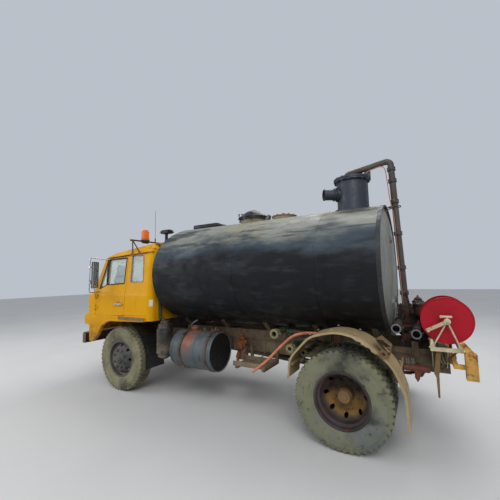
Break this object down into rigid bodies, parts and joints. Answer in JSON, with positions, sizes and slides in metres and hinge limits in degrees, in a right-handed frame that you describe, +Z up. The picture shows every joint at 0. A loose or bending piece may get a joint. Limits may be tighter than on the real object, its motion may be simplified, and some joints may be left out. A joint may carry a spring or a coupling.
{
  "type": "tanker truck",
  "caption": "Two-axle vacuum tanker truck with a tilting cab-over cab, an oval tank, a vacuum pump, a moisture trap and a hose reel.",
  "frame": {"origin": "on the ground, below the middle of the truck's overall box", "axes": "+X forward, +Y to the truck's left side, +Z up"},
  "size_m": [6.214, 2.84, 3.5117],
  "materials": {
    "frame_paint": "matt, dusty",
    "engine_iron": "matt, oily",
    "rusty_steel": "matt, rusted",
    "dark_pipe_paint": "matt",
    "slate_paint": "matt",
    "tank_paint": "matt, faded",
    "fuel_tank_paint": "matt, stained",
    "cream_paint": "matt, worn",
    "yellow_paint": "semi-gloss",
    "lamp_box_paint": "matt, rusted",
    "red_paint": "semi-gloss",
    "hose_rubber": "matt",
    "window_glass": "clear, dusty",
    "lamp_glass": "clear",
    "black_plastic": "matt",
    "seat_fabric": "matt",
    "dashboard_plastic": "matt",
    "amber_plastic": "gloss",
    "bright_trim": "bright",
    "front_rim_paint": "matt, dusty",
    "rear_rim_paint": "matt, dusty",
    "tyre": "matt, dusty"
  },
  "bodies": {
    "chassis": {"chassis_frame": "frame_paint", "cross_members": "frame_paint", "leaf_springs": "frame_paint", "front_axle": "frame_paint", "rear_axle": "frame_paint", "engine_block": "engine_iron", "propshaft": "frame_paint", "tank": "tank_paint", "tank_bearers": "frame_paint", "tank_saddles": "frame_paint", "lid_bracket": "tank_paint", "trap_drum": "slate_paint", "riser_pipe": "dark_pipe_paint", "vacuum_pump": "rusty_steel", "suction_pipes": "rusty_steel", "drain_pipes": "dark_pipe_paint", "rear_fenders": "cream_paint", "front_mudguards": "black_plastic", "fuel_tank": "fuel_tank_paint", "fuel_tank_straps": "frame_paint", "air_cleaner": "dark_pipe_paint", "exhaust": "rusty_steel", "air_reservoir": "frame_paint", "battery_box": "frame_paint", "front_bumper": "yellow_paint", "tail_lamps": "lamp_box_paint", "reel_stand": "frame_paint", "side_tray": "frame_paint", "orange_hose": "hose_rubber"},
    "cab": {"cab_body": "yellow_paint", "cab_glass": "window_glass", "front_grille": "black_plastic", "headlamps": "black_plastic", "headlamp_lenses": "lamp_glass", "seats": "seat_fabric", "dashboard": "dashboard_plastic", "roof_rack": "frame_paint", "beacon": "amber_plastic"},
    "door_left": {"door_left": "yellow_paint", "door_glass_left": "window_glass", "mirror_left": "bright_trim"},
    "door_right": {"door_right": "yellow_paint", "door_glass_right": "window_glass", "mirror_right": "bright_trim"},
    "knuckle_left": {"knuckle_left": "frame_paint"},
    "knuckle_right": {"knuckle_right": "frame_paint"},
    "track_rod": {"track_rod": "frame_paint"},
    "front_wheel_left": {"wheel_front_left": "front_rim_paint", "tyre_front_left": "tyre"},
    "front_wheel_right": {"wheel_front_right": "front_rim_paint", "tyre_front_right": "tyre"},
    "rear_wheel_left": {"wheel_rear_left": "rear_rim_paint", "tyres_rear_left": "tyre"},
    "rear_wheel_right": {"wheel_rear_right": "rear_rim_paint", "tyres_rear_right": "tyre"},
    "hose_reel": {"hose_reel": "red_paint"},
    "manhole_lid": {"manhole_lid": "tank_paint"}
  },
  "joints": [
    {"name": "cab_tilt", "type": "hinge", "parent": "chassis", "child": "cab", "pos_m": [2.78, 0, 0.985], "axis": [0, 1, 0], "range_deg": [0, 40]},
    {"name": "left_door", "type": "hinge", "parent": "cab", "child": "door_left", "pos_m": [2.608, 1.134, 1.45], "axis": [0, 0, -1], "range_deg": [0, 65]},
    {"name": "right_door", "type": "hinge", "parent": "cab", "child": "door_right", "pos_m": [2.608, -1.134, 1.45], "axis": [0, 0, 1], "range_deg": [0, 65]},
    {"name": "left_steer", "type": "hinge", "parent": "chassis", "child": "knuckle_left", "pos_m": [1.914, 0.806, 0.525], "axis": [0, 0, 1], "range_deg": [-35, 35]},
    {"name": "right_steer", "type": "hinge", "parent": "chassis", "child": "knuckle_right", "pos_m": [1.914, -0.806, 0.525], "axis": [0, 0, 1], "range_deg": [-35, 35]},
    {"name": "track_rod_pivot", "type": "hinge", "parent": "knuckle_left", "child": "track_rod", "pos_m": [1.704, 0.806, 0.395], "axis": [0, 0, 1], "range_deg": [-35, 35]},
    {"name": "front_left_spin", "type": "hinge", "parent": "knuckle_left", "child": "front_wheel_left", "pos_m": [1.914, 0.976, 0.525], "axis": [0, 1, 0], "continuous": true},
    {"name": "front_right_spin", "type": "hinge", "parent": "knuckle_right", "child": "front_wheel_right", "pos_m": [1.914, -0.976, 0.525], "axis": [0, 1, 0], "continuous": true},
    {"name": "rear_left_spin", "type": "hinge", "parent": "chassis", "child": "rear_wheel_left", "pos_m": [-1.84, 0.915, 0.525], "axis": [0, 1, 0], "continuous": true},
    {"name": "rear_right_spin", "type": "hinge", "parent": "chassis", "child": "rear_wheel_right", "pos_m": [-1.84, -0.915, 0.525], "axis": [0, 1, 0], "continuous": true},
    {"name": "reel_turn", "type": "hinge", "parent": "chassis", "child": "hose_reel", "pos_m": [-2.87, 0.625, 1.376], "axis": [0, 1, 0], "continuous": true},
    {"name": "manhole_hinge", "type": "hinge", "parent": "chassis", "child": "manhole_lid", "pos_m": [-0.47, 0, 2.916], "axis": [0, -1, 0], "range_deg": [0, 100]}
  ],
  "couplings": [
    {"joint": "right_steer", "follows": "left_steer", "ratio": 1},
    {"joint": "track_rod_pivot", "follows": "left_steer", "ratio": -1}
  ]
}
